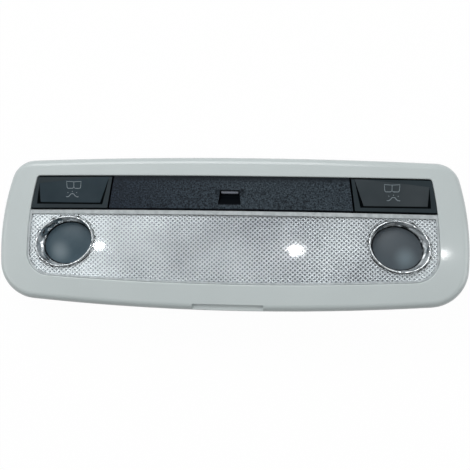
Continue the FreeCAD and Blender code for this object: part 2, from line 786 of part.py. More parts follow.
def panel_block(name, inset, drop):
    """The space of the centre panel in the row, drawn in by an inset."""
    corners = [(f"{separator(y, way)} - {way} * (key_gap + {inset})", y)
               for way, y in ((1, ROW_LOW), (1, ROW_HIGH), (-1, ROW_HIGH), (-1, ROW_LOW))]
    plan = flat_profile(f"{name}_plan", corners, "panel_foot")
    prism = extrude(f"{name}_prism", plan, f"{HIGH} - panel_foot", UP)
    slab = arched_plate(f"{name}_slab", "window", f"-fit_gap - {inset}", "panel_foot", HIGH)
    block = common(f"{name}_block", [prism, slab, crown(f"{name}_crown", drop)])
    return cut(name, block, [below_row(f"{name}_line", f"fit_gap + {inset}", "panel_foot", HIGH)])


def make_panel():
    outer = panel_block("panel_outer", "0", "key_drop")
    inner = panel_block("panel_inner", "panel_wall", "key_drop + panel_wall")
    shell = cut("panel_shell", outer, [inner])
    middle_y = "(outlet_head_y + outlet_foot_y) / 2"
    long = "2 * outlet_foot_half + 2 * panel_wall"
    wide = "outlet_head_y - outlet_foot_y + 2 * panel_wall"
    well = box("panel_well", (0, middle_y, "outlet_floor - panel_wall"),
               (long, wide, "crown_top - key_drop - panel_wall / 2 - outlet_floor"))
    flat_y = "(outlet_head_y - guide_thick - fit_gap)"
    steepness = f"(({flat_y} - outlet_foot_y) / (crown_top - key_drop - outlet_floor))"
    rise = f"(({HIGH} - outlet_floor) * {steepness})"
    spread = f"((outlet_foot_half - outlet_head_half) / ({flat_y} - outlet_foot_y))"
    low = flat_profile("outlet_low", [(f"{way} * outlet_head_half", y) for way, y in (
        (-1, flat_y), (1, flat_y), (1, "outlet_head_y"), (-1, "outlet_head_y"))], "outlet_floor")
    high = flat_profile("outlet_high", [
        (f"-(outlet_head_half + {spread} * {rise})", f"{flat_y} - {rise}"),
        (f"outlet_head_half + {spread} * {rise}", f"{flat_y} - {rise}"),
        ("outlet_head_half", "outlet_head_y"), ("-outlet_head_half", "outlet_head_y")], HIGH)
    scoop = loft("panel_scoop", [low, high])
    way = box("panel_guide_way", (0, "outlet_head_y - guide_thick / 2", "panel_foot"),
              ("2 * guide_half + 2 * fit_gap", "guide_thick + 2 * fit_gap",
               "outlet_floor - panel_foot + fit_gap"))
    keep(cut("centre_panel", fuse("panel_solid", [shell, well]), [scoop, way]))


def make_light_guide():
    y = "outlet_head_y - guide_thick / 2 - fit_gap / 2"
    half = "guide_thick / 2"
    foot = "(board_top + diode_tall + fit_gap)"
    head = f"guide_top - {half}"
    column = box("guide_column", (0, y, foot), ("2 * guide_half", "guide_thick", f"{head} - {foot}"))
    tip = cylinder("guide_tip", ("-guide_half", y, head), half, "2 * guide_half", ALONG_X)
    keep(fuse("light_guide", [column, tip]))
    keep(box("ambient_diode", (0, y, "board_top"), ("diode_long", "diode_wide", "diode_tall")))


def make_switches(name, side):
    body = box(f"switch_block_{name}", (f"{side} * switch_x", "stem_y + switch_shift", "board_top"),
               ("switch_wide", "switch_wide", "switch_tall"))
    well_wide = "plunger_wide + 2 * plunger_play"
    well = box(f"switch_well_{name}", (f"{side} * switch_x", "stem_y", "board_top + switch_floor"),
               (well_wide, well_wide, "switch_tall"))
    keep(cut(f"switch_body_{name}", body, [well]))
    keep(box(f"switch_plunger_{name}", (f"{side} * switch_x", "stem_y", "plunger_low"),
             ("plunger_wide", "plunger_wide", "plunger_top - plunger_low")))


def pin_places():
    middle = (PIN_COLUMNS - 1) / 2
    return [(f"{column - middle} * pin_pitch", f"socket_y + {row} * pin_row / 2")
            for column in range(PIN_COLUMNS) for row in (-1, 1)]


def post_places():
    return [(f"{side} * {x}", y) for name, side in SIDES
            for x, y in (("post_x", "post_y"), ("inner_post_x", "inner_post_y"))]


def make_board():
    middle = "(board_low_y + board_high_y) / 2"
    board = box("board_blank", (0, middle, "board_top - board_thick"),
                ("2 * board_half", "board_high_y - board_low_y", "board_thick"))
    low = "board_top - through"
    holes = [cylinder(f"board_hole_{i}", (x, y, low), "post_neck + fit_gap", "2 * through")
             for i, (x, y) in enumerate(post_places())]
    holes += [cylinder(f"board_pin_hole_{i}", (x, y, low), "pin_wide", "2 * through")
              for i, (x, y) in enumerate(pin_places())]
    keep(cut("circuit_board", board, holes))


def make_connector():
    foot = "back_face"
    tall = "(board_top - board_thick - fit_gap - back_face)"
    block = box("socket_block", (0, "socket_y", foot), ("socket_long", "socket_wide", tall))
    cavity = box("socket_cavity", (0, "socket_y", foot), (
        "socket_long - 2 * socket_wall", "socket_wide - 2 * socket_wall", f"{tall} - socket_wall"))
    keyway = box("socket_keyway", (0, "socket_y + socket_wide / 2 - socket_wall", foot),
                 ("socket_key", "socket_wall", f"{tall} - 2 * socket_wall"))
    bores = [cylinder(f"socket_bore_{i}", (x, y, foot), "pin_bore", f"{tall} + overlap")
             for i, (x, y) in enumerate(pin_places())]
    keep(cut("connector_socket", cut("socket_shell", block, [cavity, keyway]), bores))
    pin_tall = "board_top + pin_stub - pin_tip"
    keep(fuse("connector_pins", [box(f"pin_{i}", (x, y, "pin_tip"), ("pin_wide", "pin_wide", pin_tall))
                                 for i, (x, y) in enumerate(pin_places())]))


def make_dome_lamp():
    def rectangle(name, long, wide, z):
        return flat_profile(name, [(f"{i} * ({long})", f"pan_y + {j} * ({wide})")
                                   for i, j in ((-1, -1), (1, -1), (1, 1), (-1, 1))], z)

    plan = rectangle("pan_plan", "pan_back_long", "pan_back_wide", "pan_floor")
    outer = extrude("pan_outer", plan, "pan_front - pan_floor", UP, "pan_slope_angle")
    inner_plan = rectangle("pan_inner_plan", "pan_back_long - pan_step", "pan_back_wide - pan_step",
                           "pan_floor + pan_wall")
    inner = extrude("pan_inner", inner_plan, "pan_front - pan_floor", UP, "pan_slope_angle")
    keep(cut("dome_reflector", outer, [inner]))

    neck = "dome_half - dome_cap_long"
    half_profile = [
        ("dome_half", 0),
        ("dome_half", "dome_tip"),
        ("dome_half - dome_cap_cone", "dome_cap - dome_cap_bead"),
        ("dome_half - dome_cap_cone - dome_cap_bead", "dome_cap"),
        (neck, "dome_cap"),
        (f"{neck} - dome_glass_end", "dome_glass"),
    ]
    mirrored = [(f"-({x})", r) for x, r in reversed(half_profile)]
    keep(turned("festoon_bulb", half_profile + mirrored, (0, "pan_y", "dome_axis"), "XY_Plane", "H_Axis"))

    for name, side in SIDES:
        floor = "(pan_floor + pan_wall)"
        blade_x = f"{side} * (dome_half - contact_in)"
        blade = box(f"contact_blade_{name}", (blade_x, "pan_y", floor),
                    ("contact_thick", "contact_wide", f"contact_top - {floor}"))
        foot_x = f"{blade_x} + {side} * contact_foot / 2"
        foot = box(f"contact_foot_{name}", (foot_x, "pan_y", floor),
                   ("contact_foot", "contact_wide", "contact_thick"))
        hole = cylinder(f"contact_hole_{name}", (f"{blade_x} - contact_thick", "pan_y", "dome_axis"),
                        "contact_hole", "2 * contact_thick", ALONG_X)
        keep(cut(f"festoon_contact_{name}", fuse(f"contact_solid_{name}", [blade, foot]), [hole]))


INSIDE = "(back_face + overlap)"
BELOW = "(back_face - overlap)"


def lamp_tower(name, side):
    """The tube round a reading lamp's reflector, and the holes for its bulb holder."""
    x, y = lamp_spot(side)
    bore = "(bowl_front + bowl_wall + fit_gap)"
    top = "(ring_back - 3 * fit_gap - optic_thick - bowl_wall)"
    tower = cylinder(f"tower_{name}", (x, y, INSIDE), f"{bore} + tower_wall", f"{top} - {INSIDE}")
    hollow = cylinder(f"tower_hollow_{name}", (x, y, "back_face + back_wall"), bore, f"{top} - back_face")
    hole = cylinder(f"holder_hole_{name}", (x, y, BELOW), "holder_body + fit_gap",
                    "back_wall + 2 * overlap")
    recess = cylinder(f"holder_recess_{name}", (x, y, BELOW), "holder_flange + fit_gap",
                      "holder_flange_thick + fit_gap + overlap")
    return cut(f"tower_tube_{name}", tower, [hollow]), [hole, recess]


def screw_ear(name, side, up):
    """An eye, the arm that joins it to the tub, and the screw's hole."""
    x, y, z = f"{side} * boss_x", f"{up} * boss_y", "(boss_seat - fit_gap - ear_thick)"
    eye = cylinder(f"ear_eye_{name}", (x, y, z), "ear_outer", "ear_thick")
    arm = box(f"ear_arm_{name}", (f"{side} * (boss_x - ear_reach / 2)", y, z),
              ("ear_reach", "2 * ear_outer", "ear_thick"))
    hole = cylinder(f"ear_hole_{name}", (x, y, f"{z} - overlap"), "screw_shank + 2 * screw_play",
                    "ear_thick + 2 * overlap")
    return eye, arm, hole


def clip_lug(name, side):
    """The lug that the window of a spring clip snaps over."""
    proud = "clip_thick + clip_lug_proud"
    y = f"window_top + tub_grow + ({proud} - clip_lug_root) / 2"
    return box(f"clip_lug_{name}", (f"{side} * clip_x", y, "(clip_low + clip_high) / 2"),
               ("2 * clip_lug", f"{proud} + clip_lug_root", "clip_lug"))


def roof_hook(name, side):
    """The hook with its gusset on the lower wall."""
    wall = "-(window_bottom + tub_grow)"
    outline = flat_profile(f"hook_profile_{name}", [
        (f"{wall} + hook_root", "hook_high"),
        (f"{wall} - hook_reach", "hook_high"),
        (f"{wall} - hook_reach", "hook_high - hook_thick"),
        (f"{wall} - hook_reach / 2", "hook_high - hook_thick"),
        (f"{wall} + hook_root", "hook_high - hook_thick - hook_reach"),
    ], f"{side} * hook_x - hook_wide / 2", ACROSS_X)
    return extrude(f"hook_{name}", outline, "hook_wide", Vector(1, 0, 0))


def make_housing():
    tub = arched_plate("tub_outer", "window", "tub_grow", "back_face", "tub_front")
    upper = arched_plate("tub_upper", "window", "ledge_gap", "lens_foot - fit_gap", HIGH)
    lower = arched_plate("tub_lower", "window", "-ledge", "back_face + back_wall", HIGH)
    solids, cuts, arms = [], [], []
    for name, side in SIDES:
        tower, holes = lamp_tower(name, side)
        rib = box(f"pan_rib_{name}", (f"{side} * rib_x", "pan_y", INSIDE),
                  ("rib_thick", "2 * pan_back_wide", f"pan_floor - fit_gap - {INSIDE}"))
        solids += [tower, rib, clip_lug(name, side), roof_hook(name, side)]
        cuts += holes
        for level, up in LEVELS:
            eye, arm, hole = screw_ear(f"{name}_{level}", side, up)
            solids.append(eye)
            arms.append(arm)
            cuts.append(hole)
    for i, (x, y) in enumerate(post_places()):
        solids.append(cylinder(f"post_{i}", (x, y, INSIDE), "post_outer",
                               f"board_top - board_thick - fit_gap - {INSIDE}"))
        solids.append(cylinder(f"post_neck_{i}", (x, y, INSIDE), "post_neck",
                               f"carrier_top - carrier_thick - fit_gap - {INSIDE}"))
    cuts.append(box("socket_hole", (0, "socket_y", BELOW), (
        "socket_long + 2 * fit_gap", "socket_wide + 2 * fit_gap", "back_wall + 2 * overlap")))
    shell = cut("tub_shell", fuse("tub_with_arms", [tub] + arms), [upper, lower])
    keep(cut("rear_housing", fuse("tub_solid", [shell] + solids), cuts))


def make_clip(name, side):
    """A spring strip bent back on itself, with a window that snaps over the lug."""
    wall = "(window_top + tub_grow + fit_gap)"
    outline = [
        (wall, "clip_high"),
        (wall, "clip_low", "clip_round"),
        (f"{wall} + 2 * clip_bend", "clip_low"),
        (f"{wall} + clip_reach", "clip_high - clip_knee"),
        (f"{wall} + clip_reach - clip_return", "clip_high"),
        (f"{wall} + clip_reach - clip_return - clip_thick", "clip_high"),
        (f"{wall} + clip_reach - clip_thick", "clip_high - clip_knee"),
        (f"{wall} + 2 * clip_bend - clip_thick", "clip_low", "-(clip_round - clip_thick)"),
        (f"{wall} + clip_thick", "clip_low"),
        (f"{wall} + clip_thick", "clip_high"),
    ]
    strip = flat_profile(f"clip_profile_{name}", outline, f"{side} * clip_x - clip_wide / 2", ACROSS_X)
    bent = extrude(f"clip_strip_{name}", strip, "clip_wide", Vector(1, 0, 0))
    foot = "(clip_low + clip_high) / 2 - fit_gap"
    window = box(f"clip_window_{name}", (f"{side} * clip_x", wall, foot),
                 ("2 * clip_lug + 2 * fit_gap", "4 * clip_thick", "clip_lug + 2 * fit_gap"))
    keep(cut(f"retaining_clip_{name}", bent, [window]))


def make_screws():
    seat = "(boss_seat - fit_gap - ear_thick)"
    pieces = []
    for name, side in SIDES:
        for level, up in LEVELS:
            x, y = f"{side} * boss_x", f"{up} * boss_y"
            head = cylinder(f"screw_head_{name}_{level}", (x, y, f"{seat} - screw_head_tall"),
                            "screw_head", "screw_head_tall")
            shank = cylinder(f"screw_shank_{name}_{level}", (x, y, f"{seat} - overlap"), "screw_shank",
                             f"screw_tip - {seat} + overlap")
            pieces.append(fuse(f"screw_{name}_{level}", [head, shank]))
    group = doc.addObject("Part::Compound", "housing_screws")
    group.Links = pieces
    keep(group)


make_bezel()
make_lens()
for side_name, side_sign in SIDES:
    make_ring(side_name, side_sign)
    make_reading_lamp(side_name, side_sign)
    make_key(side_name, side_sign)
    make_switches(side_name, side_sign)
    make_clip(side_name, side_sign)
make_carrier()
make_panel()
make_light_guide()
make_board()
make_connector()
make_dome_lamp()
make_housing()
make_screws()
doc.recompute()

faults = [f"{item.Name}: {item.State}" for item in doc.Objects
          if "Invalid" in item.State or "Error" in item.State]
for item in subparts:
    if item.Shape.isNull() or not item.Shape.isValid():
        faults.append(f"{item.Name}: shape")
if faults:
    raise SystemExit("Not written: " + ", ".join(faults))

os.makedirs("parts", exist_ok=True)
for item in subparts:
    item.Shape.exportStep(f"parts/{item.Label}.step")
    print(f"{item.Label}: {len(item.Shape.Solids)} solid, {item.Shape.Volume:.1f} mm3")
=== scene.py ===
"""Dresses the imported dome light: materials, lens prisms, signs on the keys, floor, lights and camera."""
import json
import math

import bpy
from mathutils import Matrix, Vector


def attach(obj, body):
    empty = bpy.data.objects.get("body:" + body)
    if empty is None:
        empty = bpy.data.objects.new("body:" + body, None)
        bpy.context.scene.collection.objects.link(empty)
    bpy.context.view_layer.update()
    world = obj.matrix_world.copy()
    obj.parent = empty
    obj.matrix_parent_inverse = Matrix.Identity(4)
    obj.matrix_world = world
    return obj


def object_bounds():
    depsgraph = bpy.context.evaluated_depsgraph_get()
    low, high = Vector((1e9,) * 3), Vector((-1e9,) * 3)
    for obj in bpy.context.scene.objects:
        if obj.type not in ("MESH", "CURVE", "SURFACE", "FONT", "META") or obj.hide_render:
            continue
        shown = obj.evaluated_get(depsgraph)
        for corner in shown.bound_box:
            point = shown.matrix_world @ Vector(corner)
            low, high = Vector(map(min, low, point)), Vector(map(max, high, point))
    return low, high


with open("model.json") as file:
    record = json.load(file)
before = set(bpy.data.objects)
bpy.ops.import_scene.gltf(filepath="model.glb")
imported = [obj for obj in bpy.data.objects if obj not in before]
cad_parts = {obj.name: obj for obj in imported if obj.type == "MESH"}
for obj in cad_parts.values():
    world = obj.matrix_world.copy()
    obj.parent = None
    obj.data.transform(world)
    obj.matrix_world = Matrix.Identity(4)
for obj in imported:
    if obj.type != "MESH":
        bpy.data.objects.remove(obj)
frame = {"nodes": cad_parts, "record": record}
nodes = frame["nodes"]
cad_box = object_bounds()

MM = 0.001
SIDES = (("left", -1), ("right", 1))

# The face in millimetres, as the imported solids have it: its crown is a long arc along X, a short one along Y
CROWN_TOP = 7.4
CROWN_LONG = 5000
CROWN_CROSS = 520

# The window, an outline of arcs with rounded corners
WINDOW_HALF = 104.35
WINDOW_BOTTOM = 25.2
WINDOW_BOTTOM_ARC = 1600
WINDOW_SIDE_ARC = 167
WINDOW_CORNER = 12
WIDEST_DROP = 8

# The lens in it: its depth and thickness, its plain border and rail, and how far prisms run under the border
LENS_DROP = 0.5
LENS_THICK = 2.2
LENS_EDGE = 1.15
LENS_RAIL = 2.15
UNDER_EDGE = 0.7

# The row of two keys and the centre panel: its lower and upper edge, and the gaps along and across it
ROW_LINE = 11.9
ROW_ARC = 8800
ROW_TOP = 29.5
ROW_TOP_ARC = 9500
KEY_GAP = 0.25
KEY_FOOT = 0.4
SEPARATOR_X = 62.35
SEPARATOR_LEAN = 0.13

# The scooped floor of a key, and the recess of the light outlet in the centre panel, painted in shade below a
# height
SCOOP_FLOOR = 4.4
SCOOP_SLOPE = 0.104
SCOOP_FOOT = 14.7
OUTLET_HEAD, OUTLET_HALF = 22.3, 7
OUTLET_DARK = 6.45

# The reading lamps: middle, half axes and tilt of a ring's outline, the gap round it and the height of its
# foot, painted dark as a reflection
LAMP_X, LAMP_Y = 84.9, -4.8
LAMP_LONG, LAMP_SHORT = 15.4, 12.6
LAMP_TILT = math.radians(20)
LAMP_GAP = 0.35
RING_FOOT = 0.3


def lens_arcs(inset):
    """Middle and radius of the three arcs round the lens: under the keys, below and at the right end."""
    return (((0, ROW_LINE - ROW_ARC), ROW_ARC - LENS_RAIL),
            ((0, WINDOW_BOTTOM_ARC - WINDOW_BOTTOM), WINDOW_BOTTOM_ARC - inset),
            ((WINDOW_HALF - WINDOW_SIDE_ARC, -WIDEST_DROP), WINDOW_SIDE_ARC - inset))


def corner_spot():
    """The middle of the window's rounded lower right corner, where the arcs below and at the end meet."""
    _, (bottom, bottom_reach), (side, side_reach) = lens_arcs(WINDOW_CORNER)
    apart = Vector(bottom) - Vector(side)
    along = (apart.length_squared + side_reach ** 2 - bottom_reach ** 2) / (2 * apart.length)
    across = math.sqrt(side_reach ** 2 - along ** 2)
    way = apart.normalized()
    return Vector(side) + way * along + Vector((way.y, -way.x)) * across


CORNER = corner_spot()


def in_window(x, y):
    """Whether a spot is inside the border that the prisms keep from the window's outline."""
    inset = LENS_EDGE - UNDER_EDGE
    if any(math.dist((abs(x), y), middle) > radius for middle, radius in lens_arcs(inset)):
        return False
    beyond = Vector((abs(x), y)) - CORNER
    return beyond.x <= 0 or beyond.y >= 0 or beyond.length <= WINDOW_CORNER - inset


def in_lamp(x, y):
    """Whether a spot is inside the tilted ellipse of a reading lamp."""
    across, up = abs(x) - LAMP_X, y - LAMP_Y
    c, s = math.cos(LAMP_TILT), math.sin(LAMP_TILT)
    along, aside = across * c - up * s, across * s + up * c
    return (along / (LAMP_LONG + LAMP_GAP)) ** 2 + (aside / (LAMP_SHORT + LAMP_GAP)) ** 2 <= 1


def in_lens(x, y):
    """Whether a spot is in the prism field."""
    return in_window(x, y) and not in_lamp(x, y)


def crown(x, y, drop):
    """Height of a surface that lies a drop below the crowned face."""
    reach = CROWN_LONG - CROWN_CROSS + math.sqrt((CROWN_CROSS - drop) ** 2 - y ** 2)
    return CROWN_TOP - CROWN_LONG + math.sqrt(reach ** 2 - x ** 2)


# What the materials share

def material(name, colour=None, rough=0.5, metal=0.0, **sockets):
    """A new material; returns it with its node tree and shader."""
    made = bpy.data.materials.new(name)
    made.use_nodes = True
    shader = made.node_tree.nodes["Principled BSDF"]
    if colour:
        shader.inputs["Base Color"].default_value = (*colour, 1)
    shader.inputs["Roughness"].default_value = rough
    shader.inputs["Metallic"].default_value = metal
    for socket, value in sockets.items():
        shader.inputs[socket.replace("_", " ")].default_value = value
    return made, made.node_tree, shader


def add(tree, kind, values=None, **settings):
    """A new shader node with its settings and the values of its sockets."""
    node = tree.nodes.new("ShaderNode" + kind)
    for name, value in settings.items():
        setattr(node, name, value)
    for socket, value in (values or {}).items():
        node.inputs[socket].default_value = value
    return node


def linear(*rgb):
    """An sRGB colour of 0 to 255 as linear values."""
    return tuple((v / 255 / 12.92) if v < 11 else ((v / 255 + 0.055) / 1.055) ** 2.4 for v in rgb)


def noise(tree, scale, detail=3.0, rough=0.5):
    """Noise over the object's own place, in features per metre."""
    place = add(tree, "TexCoord")
    made = add(tree, "TexNoise", {"Scale": scale, "Detail": detail, "Roughness": rough})
    tree.links.new(place.outputs["Object"], made.inputs["Vector"])
    return made.outputs["Fac"]


def ranged(tree, source, start, end, low=0.0, high=1.0, kind="LINEAR"):
    """A value that goes from low to high as an output goes from start to end."""
    spread = add(tree, "MapRange", {"From Min": start, "From Max": end, "To Min": low, "To Max": high})
    spread.interpolation_type = kind
    tree.links.new(source, spread.inputs["Value"])
    return spread.outputs["Result"]


def vary(tree, source, socket, low, high, start=0.3, end=0.7):
    """Feeds a socket a value between low and high that follows a factor."""
    tree.links.new(ranged(tree, source, start, end, low, high), socket)


def shades(tree, source, low, high, start=0.3, end=0.7):
    """A colour between two that follows a factor."""
    ramp = add(tree, "ValToRGB")
    for stop, position, colour in zip(ramp.color_ramp.elements, (start, end), (low, high)):
        stop.position = position
        stop.color = (*colour, 1)
    tree.links.new(source, ramp.inputs["Fac"])
    return ramp.outputs["Color"]


def tint(tree, source, socket, low, high, start=0.3, end=0.7):
    """Feeds a socket a colour between two that follows a factor."""
    tree.links.new(shades(tree, source, low, high, start, end), socket)


def blend(tree, share, first, second):
    """A colour between two others; each is an output or a colour."""
    mix = add(tree, "Mix", data_type="RGBA")
    tree.links.new(share, mix.inputs["Factor"])
    for value, socket in ((first, mix.inputs[6]), (second, mix.inputs[7])):
        if isinstance(value, tuple):
            socket.default_value = (*value, 1)
        else:
            tree.links.new(value, socket)
    return mix.outputs[2]


def mixed(tree, share, first, second):
    """A shader between two others."""
    mix = add(tree, "MixShader")
    tree.links.new(share, mix.inputs["Fac"])
    tree.links.new(first, mix.inputs[1])
    tree.links.new(second, mix.inputs[2])
    return mix.outputs["Shader"]


def surface(tree, shader, end="Material Output"):
    """Makes a shader the surface of its material, or of the world."""
    tree.links.new(shader, tree.nodes[end].inputs["Surface"])


def number_math(tree, operation, source, *values):
    """The result of a Math node for an output and constants."""
    made = add(tree, "Math", dict(enumerate(values, start=1)), operation=operation)
    tree.links.new(source, made.inputs[0])
    return made.outputs[0]


def vector_math(tree, operation, source, vector=(0, 0, 0), result="Vector"):
    """The result of a VectorMath node for an output and a constant vector."""
    made = add(tree, "VectorMath", {1: vector}, operation=operation)
    tree.links.new(source, made.inputs[0])
    return made.outputs[result]


def joined(tree, kind, first, *others):
    """The MAXIMUM or MINIMUM of several outputs."""
    for other in others:
        both = add(tree, "Math", operation=kind)
        tree.links.new(first, both.inputs[0])
        tree.links.new(other, both.inputs[1])
        first = both.outputs[0]
    return first


def bump(tree, source, shader, strength, depth):
    """Raises a surface by a factor, up to a depth in metres."""
    made = add(tree, "Bump", {"Strength": strength, "Distance": depth})
    tree.links.new(source, made.inputs["Height"])
    tree.links.new(made.outputs["Normal"], shader.inputs["Normal"])


def part_of(tree, source, axis, start, end):
    """How far a coordinate is on its way from start to end, as 0 to 1."""
    split = add(tree, "SeparateXYZ")
    tree.links.new(source, split.inputs["Vector"])
    return ranged(tree, split.outputs[axis], start, end)


def part_way(tree, place, axis, start, end):
    """How far a place is on its way from start to end, both in millimetres, as 0 to 1."""
    return part_of(tree, place, axis, start * MM, end * MM)


def below(tree, place, axis, edge, soft):
    """1 below an edge, fading to 0 over a soft strip above it, both in millimetres."""
    return part_way(tree, place, axis, edge + soft, edge)


def mirrored_place(tree):
    """The object's place on the face, with X counted from the middle plane outwards."""
    place = add(tree, "TexCoord").outputs["Object"]
    whole, half = add(tree, "SeparateXYZ"), add(tree, "SeparateXYZ")
    tree.links.new(place, whole.inputs[0])
    tree.links.new(vector_math(tree, "ABSOLUTE", place), half.inputs[0])
    spot = add(tree, "CombineXYZ")
    tree.links.new(half.outputs["X"], spot.inputs["X"])
    tree.links.new(whole.outputs["Y"], spot.inputs["Y"])
    return spot.outputs["Vector"]


def distance(tree, place, spot, axes=(1, 1, 0)):
    """Metres from a spot of the face, given in millimetres, along the axes that count."""
    apart = vector_math(tree, "SUBTRACT", place, (spot[0] * MM, spot[1] * MM, 0))
    counted = vector_math(tree, "MULTIPLY", apart, axes)
    return vector_math(tree, "LENGTH", counted, result="Value")


def beyond_arc(tree, place, middle, radius):
    """1 outside an arc on the face, 0 inside it; its middle and radius are in millimetres."""
    return number_math(tree, "GREATER_THAN", distance(tree, place, middle), radius * MM)


# Dark lines painted on the row of keys, where its gaps are in shade
# At the foot of a scoop the shade reaches a little way onto the floor and up the wall, and ends softly

SHADOW_LINE = 0.5
SHADE_ONTO = 0.45
SHADE_UP = 0.8
SHADE_SOFT = 0.4


def separator_shadow(tree, spot):
    """1 beside the slanted gaps between the keys and the centre panel."""
    across = vector_math(tree, "DOT_PRODUCT", spot, (1, SEPARATOR_LEAN, 0), result="Value")
    line = SEPARATOR_X + SEPARATOR_LEAN * ROW_LINE
    return number_math(tree, "COMPARE", across, line * MM, SHADOW_LINE * MM)


def row_shadow(tree, spot):
    """1 along the lower edge of the row of keys and beside the gaps in it."""
    above = beyond_arc(tree, spot, (0, ROW_LINE - ROW_ARC), ROW_ARC + KEY_FOOT + SHADOW_LINE)
    lower = ranged(tree, above, start=1, end=0)
    return joined(tree, "MAXIMUM", lower, separator_shadow(tree, spot))


def key_shadow(tree, place):
    """1 on the dark lines of a key: along its upper, lower and inner edge and at the foot of the scoop."""
    spot = mirrored_place(tree)
    upper = beyond_arc(tree, spot, (0, ROW_TOP - ROW_TOP_ARC), ROW_TOP_ARC - KEY_GAP - SHADOW_LINE)
    foot = joined(tree, "MINIMUM",
                  below(tree, place, "Y", SCOOP_FOOT + SHADE_ONTO, SHADE_SOFT),
                  below(tree, place, "Z", SCOOP_FLOOR + SHADE_UP, SHADE_SOFT))
    return joined(tree, "MAXIMUM", upper, foot, row_shadow(tree, spot))


# Plastics and metals; the places where their tone changes are in millimetres, the depth of a grain in metres

SKIN_GRAIN = 0.00002
PANEL_GRAIN = 0.00012
CHROME_WAVE = 0.0024
ROLLED = 0.1
KEY_TEAL_X, KEY_SLATE_X = -60, 90
PANEL_DULL_X, PANEL_LIGHT_X = -60, 10
PANEL_SHADE_FROM, PANEL_SHADE_FULL = 3.5, 0.5


def moulded(name, colour, spread, rough, **sockets):
    """Moulded plastic: slight colour drift, fine skin and uneven gloss."""
    made, tree, shader = material(name, rough=rough, **sockets)
    drift = noise(tree, scale=35, detail=2)
    low = tuple(v * (1 - spread) for v in colour)
    high = tuple(v * (1 + spread) for v in colour)
    tint(tree, drift, shader.inputs["Base Color"], low, high)
    fine = noise(tree, scale=9000, detail=2)
    vary(tree, fine, shader.inputs["Roughness"], low=rough * 0.85, high=rough * 1.15)
    bump(tree, fine, shader, strength=0.25, depth=SKIN_GRAIN)
    return made


def key_skin(name):
    """A key: satin slate on the scooped floor, with painted shade: a little darker on the rim and near black
    on walls and edges.
    """
    made, tree, shader = material(name, rough=0.36)
    place = add(tree, "TexCoord").outputs["Object"]
    normal = add(tree, "TexCoord").outputs["Normal"]
    cloud = noise(tree, scale=60, detail=2)
    teal = shades(tree, cloud, linear(31, 47, 55), linear(44, 58, 66))
    slate = shades(tree, cloud, linear(50, 58, 62), linear(60, 67, 71))
    floor = blend(tree, part_way(tree, place, "X", KEY_TEAL_X, KEY_SLATE_X), teal, slate)
    rim = shades(tree, cloud, linear(32, 43, 48), linear(40, 51, 56))
    # The scooped floor leans towards -Y and the rim doesn't; the rim's darker tone is painted shade
    level = part_of(tree, normal, "Y", start=-0.06, end=-0.03)
    top = blend(tree, level, floor, rim)
    # Steep walls and the shadow lines are painted near black as shade, and given little reflection
    upright = part_of(tree, normal, "Z", start=0.96, end=0.8)
    dark = joined(tree, "MAXIMUM", upright, key_shadow(tree, place))
    tree.links.new(blend(tree, dark, top, linear(5, 9, 11)), shader.inputs["Base Color"])
    vary(tree, dark, shader.inputs["Specular IOR Level"], low=0.22, high=0.01, start=0, end=1)
    fine = noise(tree, scale=7000, detail=2)
    vary(tree, fine, shader.inputs["Roughness"], low=0.3, high=0.42)
    bump(tree, fine, shader, strength=0.25, depth=SKIN_GRAIN)
    return made


def outlet_recess(tree, place, spot):
    """1 in the recess of the light outlet, where shade is painted."""
    return joined(tree, "MINIMUM",
                  below(tree, place, "Y", OUTLET_HEAD, soft=0.3),
                  below(tree, spot, "X", OUTLET_HALF, soft=0.5),
                  below(tree, place, "Z", OUTLET_DARK, soft=0.3))


def grained(name, dark, dull, light, rough):
    """Slate plastic with a fine grain, duller on the left; painted shade makes the recess of the light outlet
    and the steep walls near black and darkens the strip along the upper edge.
    """
    made, tree, shader = material(name, rough=rough)
    place = add(tree, "TexCoord").outputs["Object"]
    normal = add(tree, "TexCoord").outputs["Normal"]
    spot = mirrored_place(tree)
    grain = noise(tree, scale=1250, detail=4, rough=0.75)
    left, right = (shades(tree, grain, dark, pale, start=0.4, end=0.68) for pale in (dull, light))
    skin = blend(tree, part_way(tree, place, "X", PANEL_DULL_X, PANEL_LIGHT_X), left, right)
    # Painted shade along the upper edge of the panel
    upper_edge = part_way(tree, place, "Y", ROW_TOP - PANEL_SHADE_FROM, ROW_TOP - PANEL_SHADE_FULL)
    skin = blend(tree, upper_edge, skin, dark)
    # Steep walls, the outlet's recess and the shadow lines are painted near black as shade, with little
    # reflection
    upright = part_of(tree, normal, "Z", start=0.8, end=0.6)
    shaded = joined(tree, "MAXIMUM", outlet_recess(tree, place, spot), upright, row_shadow(tree, spot))
    tree.links.new(blend(tree, shaded, skin, linear(8, 11, 15)), shader.inputs["Base Color"])
    vary(tree, shaded, shader.inputs["Specular IOR Level"], low=0.16, high=0.01, start=0, end=1)
    vary(tree, grain, shader.inputs["Roughness"], low=rough * 0.7, high=rough * 1.2)
    bump(tree, grain, shader, strength=0.5, depth=PANEL_GRAIN)
    return made


def metal(name, colour, rough, along="X"):
    """Metal with fine lines along one axis, from rolling or drawing."""
    made, tree, shader = material(name, rough=rough, metal=1.0)
    place = add(tree, "TexCoord")
    stretched = add(tree, "Mapping", {"Scale": [ROLLED if axis == along else 1 for axis in "XYZ"]})
    tree.links.new(place.outputs["Object"], stretched.inputs["Vector"])
    lines = add(tree, "TexNoise", {"Scale": 1000.0, "Detail": 3.0})
    tree.links.new(stretched.outputs["Vector"], lines.inputs["Vector"])
    low = tuple(v * 0.82 for v in colour)
    tint(tree, lines.outputs["Fac"], shader.inputs["Base Color"], low, colour)
    vary(tree, lines.outputs["Fac"], shader.inputs["Roughness"], low=rough * 0.7, high=rough * 1.3)
    return made


